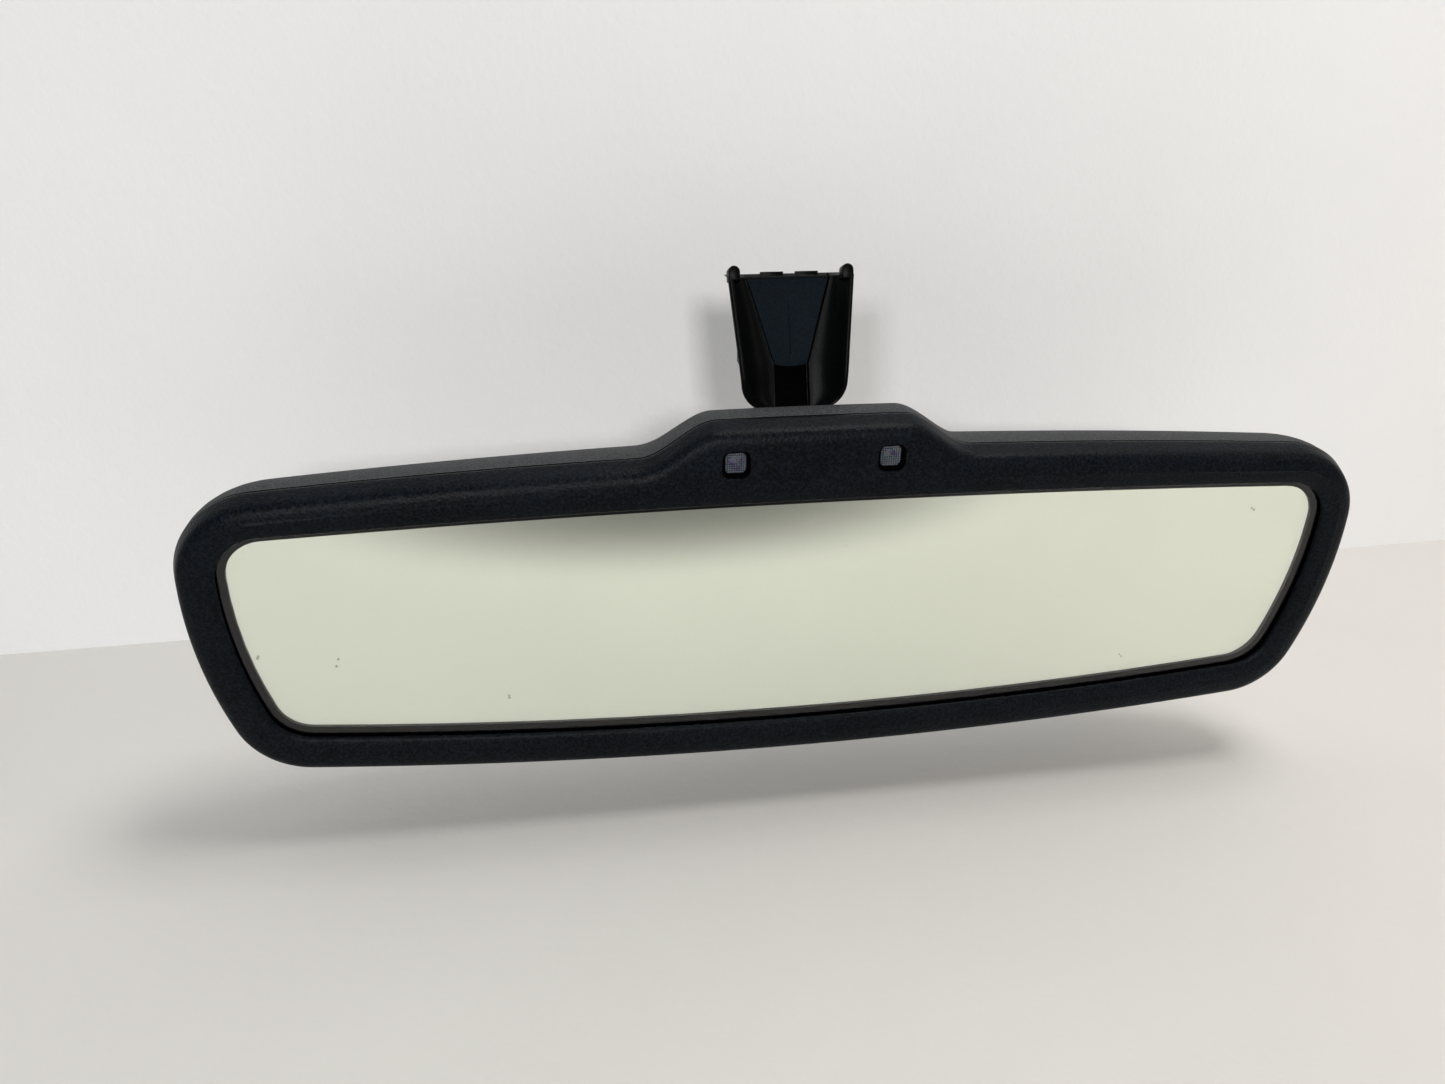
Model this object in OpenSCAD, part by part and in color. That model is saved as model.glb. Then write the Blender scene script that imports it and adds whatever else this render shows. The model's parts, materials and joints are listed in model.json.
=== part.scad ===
// Interior rearview mirror: a ball-jointed mirror head on a windshield-button mount.
// Drawn in head coordinates: X right, Y away from the viewer, Z up, with the middle of the
// glass front at zero. place() then moves everything so that the button seat is the origin.

/* [Glass opening] */
// Half width of the opening at its widest
glass_half_w = 119.45; // [110:0.05:130]
// Height of the opening above its centre
glass_top_z = 27.5; // [24:0.5:30]
// Depth of the opening below its centre
glass_bottom_z = -27.5; // [-30:0.5:-24]
// Thickness of each pane
pane_t = 1.6; // [1.2:0.1:2]
// Gap between the panes
pane_gap = 0.4; // [0.3:0.1:0.5]

/* [Housing] */
// Half width of the housing at its widest
case_half_w = 128.1; // [120:0.1:140]
// Height of the housing's top edge beside the hump
case_top_z = 37.1; // [34:0.1:40]
// Depth of the housing's bottom edge
case_bottom_z = -36.9; // [-40:0.1:-34]
// Height of the microphone hump above the top edge
hump_h = 7.35; // [4:0.05:9]
// Half width of the hump's flat top
hump_flat = 19.5; // [18:0.5:24]
// Width of the hump's slope on each side
hump_slope = 16; // [12:0.5:20]
// Depth at which the bezel meets the rear case
parting_y = 4; // [3:0.25:6]
// Depth of the rear case's back at its middle
case_back_y = 28; // [26:0.5:29]
// Wall of the rear case
case_wall = 1.5; // [1.2:0.1:2]

/* [Ball joint] */
// Radius of the ball
ball_r = 8; // [7:0.25:8.5]
// Depth of the ball's centre
ball_y = 21; // [20.5:0.25:21.5]
// Height of the ball's centre
ball_z = 5; // [3:0.5:7]
// Radial clearance between turning surfaces of the ball joint
joint_gap = 0.1; // [0.05:0.05:0.15]

/* [Mount] */
// Depth of the face that lies against the windshield
seat_y = 42; // [41:0.5:44]
// Height of the middle of the button channel
seat_z = 52; // [51:0.5:53]
// Width of the channel at its root
channel_root_w = 13; // [12:0.1:13.4]
// Width of the channel at its mouth
channel_mouth_w = 10.8; // [10:0.1:11.4]
// Depth of the channel
channel_depth = 4.5; // [4.2:0.1:4.8]
// Backward lean of the stem cover
cover_lean = 22; // [20:0.5:24]

/* [Hidden] */
eps = 0.01;
$fn = 64;

// Outline parameters: top z and radius, side x, z and radius, bottom z and radius, corner radii
opening = [glass_top_z, 3100, glass_half_w, 13.5, 90, glass_bottom_z, 1087, 9.5, 9.5];
shell = [case_top_z, 1680, case_half_w, 11.5, 94, case_bottom_z, 1120, 18, 17.5];
back = [18, 160, 66, 1, 60, -18, 400, 8, 10];

// Depths of the layers behind the glass
rear_pane_y = pane_t + pane_gap;
stack_y = rear_pane_y + pane_t;
foam_y = stack_y + 1;
carrier_y = foam_y + 1.8;
plate_y0 = 7.6;
plate_y = plate_y0 + 1.2;

// Ball joint radii and depths
liner_in = ball_r + joint_gap;
liner_out = 9.5;
cup_in = liner_out + joint_gap;
cup_out = 12;
housing_in = cup_out + joint_gap;
housing_out = 15;
cup_y = 10.1;
ring_y = ball_y + 6.2;
housing_y = 29;
neck_r = 4;
boss_y = 32;
boss_back_y = 37.3;
shank_r = 3.5;

// Mount: foot of the cover's front plane, the cover's thickness behind it, and the bracket's ends
cover_x = 0.9;
cover_y = 25.5;
cover_z = 41;
cover_t = 2.4;
bracket_half_w = 8.8;
bracket_z = [44, 61.5];
channel_z = [44, 60];
screw_z = 46.4;

// Circuit board
board = [34, 98, -14, 16];
board_y0 = 9.6;
board_y = board_y0 + 1.6;
board_hole = [[38, -10], [38, 12], [94, -10], [94, 12]];
socket_hole = [[-25, -11], [25, -11], [-25, 21], [25, 21]];
light_pipe_at = [44, 3];
header_at = [66, 2];
sensor_at = [86, 2];
mic_at = [16.2, 36.7];

// ---- outline of the opening and the housing ----
function unit(v) = v / norm(v);
function ang(v) = atan2(v[1], v[0]);
// Point at distance ra from a and rb from b, on the right of the line from a to b
function meet(a, ra, b, rb) =
    let (d = b - a, l = norm(d), t = (ra * ra - rb * rb + l * l) / (2 * l), h = sqrt(ra * ra - t * t))
    a + t * d / l + h * [d[1], -d[0]] / l;
function arc(c, r, a0, a1, n) = [for (i = [0:n - 1]) let (a = a0 + (a1 - a0) * i / n) c + r * [cos(a), sin(a)]];
function smooth(t) = let (u = max(0, min(1, t))) u * u * (3 - 2 * u);
function hump(x) = hump_h * smooth((hump_flat + hump_slope - abs(x)) / hump_slope);
hump_end = hump_flat + hump_slope;
// Places across the right half of the top edge, closer together on the hump's slope, ending before x1
function top_x(x1) = concat([0, hump_flat / 2], [for (i = [0:9]) hump_flat - 1 + i * (hump_slope + 2) / 9],
                            [for (i = [1:5]) hump_end + 1 + (x1 - hump_end - 1) * i / 6]);
// Right half of an outline from the middle of its top to the middle of its bottom, grown by d
function half(p, d, k) =
    let (rt = p[1] + d, rs = p[4] + d, rb = p[6] + d, ct = p[7] + d, cb = p[8] + d,
         t = [0, p[0] - p[1]], s = [p[2] - p[4], p[3]], b = [0, p[5] + p[6]],
         f1 = meet(t, rt - ct, s, rs - ct), f2 = meet(s, rs - cb, b, rb - cb),
         a1 = ang(f1 - t), a2 = ang(f1 - s), a3 = ang(f2 - s), a4 = ang(f2 - b))
    concat([for (x = top_x(rt * cos(a1))) [x, t[1] + sqrt(rt * rt - x * x) + k * hump(x)]],
           arc(f1, ct, a1, a2, 8), arc(s, rs, a2, a3, 6), arc(f2, cb, a3, a4, 8), arc(b, rb, a4, -90, 8), [[0, p[5] - d]]);
// Whole outline, clockwise seen from the front; k is the share of the hump that it shows
function outline(p, d = 0, k = 0) =
    let (h = half(p, d, k), n = len(h))
    concat(h, [for (i = [n - 2:-1:1]) [-h[i][0], h[i][1]]]);

// ---- shells swept around the outline ----
function ring(pts, y) = [for (q = pts) [q[0], y, q[1]]];
function band(n, m, closed) =
    [for (r = [0:closed ? m - 1 : m - 2], i = [0:n - 1])
        let (s = (r + 1) % m, j = (i + 1) % n, a = r * n + i, b = r * n + j, c = s * n + j, d = s * n + i)
        each [[a, c, b], [a, d, c]]];
function flat_list(rings) = [for (r = rings) each r];
module ring_solid(rings) {
    n = len(rings[0]);
    polyhedron(flat_list(rings), band(n, len(rings), true), convexity = 8);
}
module capped_solid(rings) {
    n = len(rings[0]);
    m = len(rings);
    faces = concat(band(n, m, false), [[for (i = [0:n - 1]) i]], [[for (i = [n - 1:-1:0]) (m - 1) * n + i]]);
    polyhedron(flat_list(rings), faces, convexity = 8);
}

// ---- placing helpers ----
module place() { translate([0, -seat_y, -seat_z]) children(); }
// A flat outline drawn in x and z, standing between two depths
module slab(y0, y1) { translate([0, y1, 0]) rotate([90, 0, 0]) linear_extrude(y1 - y0) children(); }
module along_y(x, y, z) { translate([x, y, z]) rotate([-90, 0, 0]) children(); }
module rod(x, z, y0, y1, r) { along_y(x, y0, z) cylinder(r = r, h = y1 - y0); }
module rounded(w, h, r) { offset(r = r, $fn = 32) square([w - 2 * r, h - 2 * r], center = true); }
module sides() { for (s = [-1, 1]) scale([s, 1, 1]) children(); }
// Stem cover frame: x across, y up along its lean, z out of its front
module on_cover() { translate([cover_x, cover_y, cover_z]) rotate([90 - cover_lean, 0, 0]) children(); }
module pan_screw(len, r, head_r, head_t) {
    cylinder(r = r, h = len);
    translate([0, 0, -head_t]) difference() {
        cylinder(r = head_r, h = head_t);
        translate([0, 0, -eps]) cylinder(r = head_r * 0.55, h = head_t * 0.6, $fn = 6);
    }
}

// ---- glass and what holds it ----
module front_glass() {
    color([0.80, 0.84, 0.80]) slab(0, pane_t) polygon(outline(opening, 1.8));
}
module glass_seal() {
    color([0.2, 0.2, 0.22]) slab(pane_t, rear_pane_y) difference() {
        polygon(outline(opening, 1));
        polygon(outline(opening, -1.5));
    }
}
module rear_glass() {
    color([0.7, 0.74, 0.72]) slab(rear_pane_y, stack_y) polygon(outline(opening, 1.2));
}
// A thin strip that wraps the panes' edge over a half width of x
module bus_clip(top) {
    color("silver") intersection() {
        union() {
            slab(stack_y, stack_y + 0.3) difference() {
                polygon(outline(opening, 1.5));
                polygon(outline(opening, -2));
            }
            slab(pane_t, stack_y + 0.3) difference() {
                polygon(outline(opening, 1.6));
                polygon(outline(opening, 1.2));
            }
        }
        translate([-88, 0, top ? 10 : -60]) cube([176, 8, 50]);
    }
}
module foam_pad() {
    color([0.15, 0.15, 0.16]) slab(stack_y, foam_y) difference() {
        polygon(outline(opening, -3));
        translate([sensor_at[0], sensor_at[1]]) circle(r = 4);
    }
}
module carrier_plate() {
    color([0.25, 0.26, 0.28]) difference() {
        union() {
            slab(foam_y, carrier_y) polygon(outline(opening, 4.5));
            for (p = board_hole) rod(p[0], p[1], carrier_y - eps, board_y0, 3);
            for (z = [-17, 20]) translate([-100, carrier_y - eps, z]) cube([64, 2.5, 1.6]);
        }
        rod(sensor_at[0], sensor_at[1], 0, board_y0, 3.6);
        for (p = board_hole) rod(p[0], p[1], carrier_y - 1, board_y0 + 1, 0.9);
    }
}
module mic_windows() {
    sides() slab(-6, 0.9) translate(mic_at) rounded(5, 4.9, 1.2);
}
module bezel() {
    a = [for (s = [[1, 0], [0, -0.6], [0.05, -1], [0.4, -1.35], [1.4, -1.75], [3.2, -2]]) ring(outline(opening, s[0]), s[1])];
    b = [for (s = [[-4.2, -1.9], [-2.6, -1.55], [-1.6, -1], [-1, -0.1], [-0.55, 1.4], [0, 3], [-0.1, parting_y - 0.2],
                   [-2.4, parting_y - 0.2], [-2.4, 7.4], [-3.4, 7.4], [-3.4, 1.6], [-4.8, 0.3]])
        ring(outline(shell, s[0], 1), s[1])];
    c = [for (s = [[3.6, 0.1], [3.6, foam_y], [2.2, foam_y], [2.2, 0]]) ring(outline(opening, s[0]), s[1])];
    color([0.06, 0.06, 0.065]) resize([0, 0, 0]) difference() {
        ring_solid(concat(a, b, c));
        mic_windows();
    }
}

// ---- rear case ----
case_y = parting_y + 0.3;
// Share of the hump left at depth y
function hump_share(y) = 1 - smooth((y - 10.5) / 10.5);
// Outer surface point i at the fraction t of the way from the front edge (0) to the flat back (1)
function case_ring(t, inset) =
    let (front = outline(shell, -inset), rear = outline(back, -inset / 2),
         w = 1 - pow(cos(90 * t), 0.92), s = pow(sin(90 * t), 0.86))
    [for (i = [0:len(front) - 1])
        let (q = front[i] + w * (rear[i] - front[i]),
             y = case_y + (case_back_y - case_y - inset) * s,
             lift = q[1] > 0 ? hump(front[i][0]) * hump_share(y) : 0)
        [q[0], y, q[1] + lift]];
case_steps = [0, 0.1, 0.2, 0.3, 0.4, 0.5, 0.6, 0.72, 0.86, 1];
module case_shell() {
    outer = [for (t = case_steps) case_ring(t, 0)];
    inner = [for (t = case_steps) case_ring(t, case_wall)];
    difference() {
        capped_solid(outer);
        difference() {
            capped_solid(concat([[for (p = inner[0]) [p[0], p[1] - 1, p[2]]]], inner));
            for (p = socket_hole) rod(p[0], p[1], plate_y, 30, 3.2);
        }
    }
}
module rear_case() {
    color([0.16, 0.165, 0.175]) resize([0, 0, 0]) difference() {
        case_shell();
        rod(0, ball_z, 0, 40, housing_out + 0.2);
        for (p = socket_hole) rod(p[0], p[1], 0, plate_y + 9, 1.25);
        slab(0, 40) translate(header_at) rounded(24.4, 10.4, 1.5);
        rod(light_pipe_at[0], light_pipe_at[1], 0, 40, 3.55);
    }
}
module light_pipe() {
    color([0.75, 0.8, 0.85]) rod(light_pipe_at[0], light_pipe_at[1], board_y + 1.2, 27.2, 3.4);
}

// ---- electronics ----
module circuit_board() {
    color([0.05, 0.3, 0.12]) difference() {
        translate([board[0], board_y0, board[2]]) cube([board[1] - board[0], board_y - board_y0, board[3] - board[2]]);
        for (p = board_hole) rod(p[0], p[1], 0, 20, 1.4);
        translate([84.2, 0, 0.2]) cube([3.6, 20, 3.6]);
    }
}
module board_screws() {
    color("silver") for (p = board_hole)
        translate([p[0], board_y, p[1]]) rotate([90, 0, 0]) pan_screw(5.5, 0.9, 2.2, 1.4);
}
module board_chips() {
    color([0.08, 0.08, 0.09]) for (c = [[52, -9, 7, 7], [86, -8, 6, 5], [84, 9, 8, 6], [54, 12, 6, 4]])
        translate([c[0] - c[2] / 2, board_y, c[1] - c[3] / 2]) cube([c[2], 1.4, c[3]]);
}
module glare_sensor() {
    color([0.9, 0.9, 0.8]) union() {
        translate([84.2, board_y0 - 0.6, 0.2]) cube([3.6, board_y - board_y0 + 0.6, 3.6]);
        rod(sensor_at[0], sensor_at[1], stack_y + 0.3, board_y0 - 0.5, 2.4);
    }
}
module ambient_sensor() {
    color([0.85, 0.85, 0.75]) translate([light_pipe_at[0] - 2, board_y, light_pipe_at[1] - 2]) cube([4, 1.2, 4]);
}
module connector_header() {
    color([0.12, 0.12, 0.13]) difference() {
        slab(board_y, 27.6) translate(header_at) rounded(24, 10, 1.3);
        slab(board_y + 4, 30) translate(header_at) rounded(21, 7, 0.8);
        for (i = [0:4], j = [0, 1])
            rod(header_at[0] - 8 + 4 * i, header_at[1] - 1.5 + 3 * j, 0, 30, 0.4);
    }
}
module connector_pins() {
    color("gold") for (i = [0:4], j = [0, 1])
        rod(header_at[0] - 8 + 4 * i, header_at[1] - 1.5 + 3 * j, board_y, 24, 0.4);
}

// ---- microphones, one on each side of the hump ----
module mic_mesh(s) {
    color([0.55, 0.55, 0.58]) scale([s, 1, 1]) slab(-0.95, -0.7) difference() {
        translate(mic_at) rounded(4.96, 4.86, 1.2);
        for (i = [-3:3], j = [-3:3]) if (abs(i) + abs(j) < 6)
            translate([mic_at[0] + i * 0.62, mic_at[1] + j * 0.62]) square(0.36, center = true);
    }
}
module mic_boot(s) {
    color([0.1, 0.1, 0.11]) scale([s, 1, 1]) difference() {
        union() {
            slab(0.9, 7) translate(mic_at) rounded(8.6, 7, 1);
            slab(-0.7, 0.95) translate(mic_at) rounded(4.9, 4.8, 1.1);
        }
        rod(mic_at[0], mic_at[1], -2, 2.5, 1.5);
        rod(mic_at[0], mic_at[1], 2.4, 8, 3);
    }
}
module mic_capsule(s) {
    color([0.7, 0.7, 0.72]) scale([s, 1, 1]) rod(mic_at[0], mic_at[1], 2.5, 5.2, 2.98);
}

// ---- socket of the ball joint ----
module socket_plate() {
    color([0.6, 0.62, 0.65]) difference() {
        slab(plate_y0, plate_y) translate([0, ball_z]) rounded(60, 40, 4);
        for (p = socket_hole) rod(p[0], p[1], 0, 20, 1.6);
        rod(0, ball_z, 0, 20, 5);
    }
}
module socket_screws() {
    color([0.75, 0.75, 0.78]) for (p = socket_hole)
        along_y(p[0], plate_y0, p[1]) pan_screw(9, 1.25, 2.8, 1.1);
}
// A turned part around the ball's axis: points are radius and depth
module turned(pts) { along_y(0, 0, ball_z) rotate_extrude() polygon(pts); }
module socket_housing() {
    color([0.10, 0.10, 0.11])
        turned([[housing_in, plate_y], [18, plate_y], [18, plate_y + 1.8], [housing_out, plate_y + 1.8],
                [housing_out, housing_y - 0.6], [housing_out - 0.6, housing_y], [9.2, housing_y],
                [9.2, ring_y + 0.2], [housing_in, ring_y + 0.2]]);
}
module wave_spring() {
    color("silver") turned([[5.6, plate_y], [6.4, plate_y], [10.6, cup_y - 0.4], [10.6, cup_y - 0.1], [9.8, cup_y - 0.1],
                            [5.6, plate_y + 0.4]]);
}
module pressure_cup() {
    color([0.7, 0.71, 0.74]) difference() {
        rod(0, ball_z, cup_y, ball_y, cup_out);
        along_y(0, ball_y, ball_z) sphere(r = cup_in);
    }
}
module retaining_ring() {
    color([0.66, 0.67, 0.7]) difference() {
        rod(0, ball_z, ball_y, ring_y, cup_out);
        along_y(0, ball_y, ball_z) sphere(r = cup_in);
    }
}
module ball_liner() {
    color([0.9, 0.9, 0.86]) difference() {
        along_y(0, ball_y, ball_z) sphere(r = liner_out);
        along_y(0, ball_y, ball_z) sphere(r = liner_in);
        rod(0, ball_z, ball_y + 5.2, ball_y + 20, 20);
        rod(0, ball_z, 0, ball_y, 3);
    }
}
module ball_stud() {
    color([0.78, 0.78, 0.8]) union() {
        along_y(0, ball_y, ball_z) sphere(r = ball_r);
        rod(0, ball_z, ball_y, boss_y, neck_r);
        rod(0, ball_z, boss_y - eps, boss_back_y, shank_r);
    }
}

// ---- mount ----
// Depth of the cover's back at height z
function cover_back_y(z) = cover_y + cover_t / cos(cover_lean) + tan(cover_lean) * (z - cover_z);
module mount_bracket() {
    color([0.2, 0.2, 0.21]) difference() {
        union() {
            rod(0, ball_z, boss_y, boss_back_y, 7);
            translate([-5.5, boss_y, ball_z]) cube([11, boss_back_y - boss_y, bracket_z[0] + 1 - ball_z]);
            rotate([90, 0, 90]) translate([0, 0, -bracket_half_w]) linear_extrude(2 * bracket_half_w)
                polygon([[cover_back_y(bracket_z[0]), bracket_z[0]], [seat_y, bracket_z[0]], [seat_y, bracket_z[1]],
                         [cover_back_y(bracket_z[1]), bracket_z[1]]]);
        }
        rod(0, ball_z, 0, 60, shank_r);
        // Dovetail channel for the windshield button, open at its lower end
        translate([0, 0, 30]) linear_extrude(channel_z[1] - 30)
            polygon([[-channel_root_w / 2, seat_y - channel_depth], [channel_root_w / 2, seat_y - channel_depth],
                     [channel_mouth_w / 2, seat_y + eps], [-channel_mouth_w / 2, seat_y + eps]]);
        rod(0, screw_z, 20, 60, 1.6);
    }
}
module set_screw() {
    color([0.3, 0.3, 0.32]) difference() {
        rod(0, screw_z, 31.2, 38.4, 1.6);
        along_y(0, 31.1, screw_z) cylinder(r = 0.9, h = 1.8, $fn = 6);
    }
}
// Front view of the stem cover, grown by d
module cover_outline(d) {
    hull() {
        sides() translate([5.95, 2.8]) circle(r = 6 + d, $fn = 96);
        sides() translate([12.4, 24.2]) circle(r = 1.5 + d, $fn = 32);
    }
}
module panel_outline(d) {
    polygon([[-9.1 - d, 25.7 + d], [9.1 + d, 25.7 + d], [3.65 + d, 6.9 - d], [-3.65 - d, 6.9 - d]]);
}
// Outer form, wider at its front rim than at its back
module cover_body() {
    hull() {
        translate([0, 0, 3.6]) linear_extrude(0.4) cover_outline(0);
        translate([0, 0, 4.6]) linear_extrude(0.4) intersection() {
            cover_outline(0);
            translate([-20, 12]) square([40, 20]);
        }
        translate([0, 0, -cover_t]) linear_extrude(0.4) cover_outline(-1.3);
    }
}
// Rounded lobe that stands up at each top corner
module cover_ears() {
    sides() hull() {
        translate([12.3, 26.7, 1.6]) cylinder(r = 1.6, h = 3.3, $fn = 32);
        translate([12.3, 23, 1.6]) cylinder(r = 1.5, h = 3.3, $fn = 32);
        translate([11.5, 23, -1.2]) cylinder(r = 1.2, h = 1, $fn = 32);
    }
}
module stem_cover() {
    color([0.05, 0.05, 0.06]) resize([0, 0, 0]) on_cover() union() {
        difference() {
            union() {
                cover_body();
                translate([0.7, 0, 0]) sides() translate([1.4, 21, -2]) cube([5.1, 6.4, 1.2]);
            }
            // Concave wing on each side of the panel, closed by a round end
            sides() translate([4.4, 5.6, 8.4]) rotate([-90, 0, -4.6]) cylinder(r = 8.4, h = 40, $fn = 96);
            sides() translate([4.4, 5.6, 8.4]) sphere(r = 8.4, $fn = 96);
            translate([-4.6, -8, 0]) cube([9.2, 50, 8]);
            translate([0, 0, -1.2]) linear_extrude(9) panel_outline(0.3);
            // Groove that the mirror's neck shows through, closed at its back
            translate([-3.65, -8, -1.6]) cube([7.3, 15, 12]);
        }
        cover_ears();
    }
}
module cover_panel() {
    color([0.08, 0.09, 0.12]) on_cover() translate([0, 0, -1.2]) difference() {
        linear_extrude(1.5) panel_outline(0);
        translate([0, 18.5, 1.3]) cylinder(r = 0.5, h = 1, $fn = 24);
    }
}

place() rear_case();
place() bezel();
place() front_glass();
place() glass_seal();
place() rear_glass();
place() bus_clip(true);  // bus_clip_top
place() bus_clip(false);  // bus_clip_bottom
place() foam_pad();
place() carrier_plate();
place() circuit_board();
place() board_screws();
place() board_chips();
place() glare_sensor();
place() ambient_sensor();
place() light_pipe();
place() connector_header();
place() connector_pins();
place() mic_mesh(-1);  // mic_mesh_left
place() mic_mesh(1);  // mic_mesh_right
place() mic_boot(-1);  // mic_boot_left
place() mic_boot(1);  // mic_boot_right
place() mic_capsule(-1);  // mic_capsule_left
place() mic_capsule(1);  // mic_capsule_right
place() socket_plate();
place() socket_screws();
place() socket_housing();
place() wave_spring();
place() pressure_cup();
place() retaining_ring();
place() ball_liner();
place() ball_stud();
place() mount_bracket();
place() set_screw();
place() stem_cover();
place() cover_panel();
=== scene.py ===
"""Interior rearview mirror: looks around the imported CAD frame."""

import json
import math
from collections import namedtuple

import bmesh
import bpy
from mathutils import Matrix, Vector


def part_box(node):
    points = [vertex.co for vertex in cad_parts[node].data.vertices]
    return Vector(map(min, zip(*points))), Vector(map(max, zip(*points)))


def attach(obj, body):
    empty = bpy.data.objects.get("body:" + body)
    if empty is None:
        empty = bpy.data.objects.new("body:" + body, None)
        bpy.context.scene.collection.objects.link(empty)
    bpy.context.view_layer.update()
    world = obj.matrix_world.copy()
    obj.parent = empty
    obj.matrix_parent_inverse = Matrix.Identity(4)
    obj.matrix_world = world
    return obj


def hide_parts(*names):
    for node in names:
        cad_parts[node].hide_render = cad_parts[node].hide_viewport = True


MM = 0.001
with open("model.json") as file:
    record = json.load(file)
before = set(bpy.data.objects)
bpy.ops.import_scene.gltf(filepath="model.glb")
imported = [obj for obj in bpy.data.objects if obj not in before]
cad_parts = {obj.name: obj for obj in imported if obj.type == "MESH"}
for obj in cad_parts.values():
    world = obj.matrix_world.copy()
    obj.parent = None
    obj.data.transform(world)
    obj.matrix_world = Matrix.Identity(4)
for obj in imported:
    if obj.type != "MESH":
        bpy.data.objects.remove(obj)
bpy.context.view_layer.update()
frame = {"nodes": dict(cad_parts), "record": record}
nodes = frame["nodes"]

# ---------------------------------------------------------------- head coordinates
# Millimetres from the middle of the glass front: x right, y away from the viewer, z up.
glass_lo, glass_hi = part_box("front_glass")
bezel_lo, bezel_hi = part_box("bezel")
case_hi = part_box("rear_case")[1]
HEAD = Vector(((glass_lo.x + glass_hi.x) / 2, glass_lo.y, (glass_lo.z + glass_hi.z) / 2))


def at(x, y, z):
    """A point of the head, in the shared frame in metres."""
    return HEAD + Vector((x, y, z)) * MM


def millimetres(v):
    """The head coordinates of a point of the shared frame."""
    return (v - HEAD) / MM


# ---------------------------------------------------------------- camera
LENS, SENSOR = 27.9, 36
CAMERA_PLACE = (-53.25, -205.93, 125.07)
CAMERA_TURN = (62.9706, -0.9661, -9.0986)          # degrees about x, y and z


def make_camera():
    data = bpy.data.cameras.new("camera")
    data.lens = LENS
    data.sensor_width = SENSOR
    data.clip_start = 0.01
    data.clip_end = 20
    camera = bpy.data.objects.new("camera", data)
    bpy.context.scene.collection.objects.link(camera)
    camera.location = at(*CAMERA_PLACE)
    camera.rotation_euler = [math.radians(a) for a in CAMERA_TURN]
    bpy.context.scene.camera = camera


make_camera()


# ---------------------------------------------------------------- node helpers
MATERIALS = {}


class Nodes:
    """A material's node tree with short calls for the nodes used here."""

    SOCKETS = {"rough": "Roughness", "metal": "Metallic", "ior": "IOR", "through": "Transmission Weight",
               "specular": "Specular IOR Level", "coat": "Coat Weight", "coat_rough": "Coat Roughness"}
    NOISE_LOW, NOISE_HIGH = 0.3, 0.7                # the range that noise really fills

    def __init__(self, name):
        self.material = bpy.data.materials.new(name)
        self.material.use_nodes = True
        self.tree = self.material.node_tree
        self.shader = self.tree.nodes["Principled BSDF"]
        self.coords = self.tree.nodes.new("ShaderNodeTexCoord").outputs["Object"]
        MATERIALS[name] = self.material

    def add(self, kind, inputs=(), **settings):
        """A new node; each input is either a socket to link or a constant."""
        node = self.tree.nodes.new(kind)
        for key, value in settings.items():
            setattr(node, key, value)
        for key, value in dict(inputs).items():
            if isinstance(value, bpy.types.NodeSocket):
                self.tree.links.new(value, node.inputs[key])
            else:
                node.inputs[key].default_value = value
        return node

    def set(self, **values):
        for key, value in values.items():
            self.shader.inputs[self.SOCKETS[key]].default_value = value

    def link(self, output, socket):
        self.tree.links.new(output, self.shader.inputs[socket])

    def noise(self, scale, detail=4.0, rough=0.55, stretch=None):
        where = self.coords
        if stretch:
            where = self.add("ShaderNodeMapping", {"Vector": where, "Scale": stretch}).outputs[0]
        return self.add("ShaderNodeTexNoise", {"Vector": where, "Scale": scale, "Detail": detail,
                                               "Roughness": rough}).outputs[0]

    def cells(self, scale, feature="F1", randomness=1.0):
        node = self.add("ShaderNodeTexVoronoi", {"Vector": self.coords, "Scale": scale,
                                                 "Randomness": randomness}, feature=feature)
        return node.outputs["Distance"]

    def math(self, operation, a, b):
        return self.add("ShaderNodeMath", {0: a, 1: b}, operation=operation).outputs[0]

    def blend(self, a, share_a, b, share_b):
        """a times its share plus b times its share."""
        return self.math("ADD", self.math("MULTIPLY", a, share_a), self.math("MULTIPLY", b, share_b))

    def spread(self, value, low, high):
        """A noise value spread over low to high."""
        return self.add("ShaderNodeMapRange", {"Value": value, "From Min": self.NOISE_LOW,
                                               "From Max": self.NOISE_HIGH, "To Min": low,
                                               "To Max": high}).outputs[0]

    def ramp(self, value, stops):
        """A colour for each value, from pairs of place and colour."""
        node = self.add("ShaderNodeValToRGB", {"Fac": value})
        ends = node.color_ramp.elements
        while len(ends) < len(stops):
            ends.new(0.5)
        for end, (place, colour) in zip(ends, stops):
            end.position = place
            end.color = (*colour, 1)
        return node.outputs["Color"]

    def bump(self, height, distance):
        return self.add("ShaderNodeBump", {"Height": height, "Distance": distance}).outputs[0]


def scaled(colour, k):
    return tuple(min(1.0, c * k) for c in colour)


# ---------------------------------------------------------------- materials
def grained_plastic(name, colour, rough, cell, depth, specular=0.5, contrast=0.3):
    """Moulded plastic with a leather-like grain: cell is its size and depth its relief, in metres."""
    m = Nodes(name)
    m.set(specular=specular)
    ridges = m.cells(1 / cell, "SMOOTH_F1")
    fine = m.noise(2.6 / cell, 3)
    broad = m.noise(45, 3)
    shade = m.blend(ridges, 1.1, broad, 0.4)
    dark, light = scaled(colour, 1 - contrast), scaled(colour, 1 + 2 * contrast)
    m.link(m.ramp(shade, [(0.35, dark), (0.95, light)]), "Base Color")
    m.link(m.spread(m.blend(fine, 0.6, broad, 0.4), rough - 0.07, rough + 0.07), "Roughness")
    m.link(m.bump(m.blend(ridges, 1, fine, 0.35), depth), "Normal")


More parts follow.
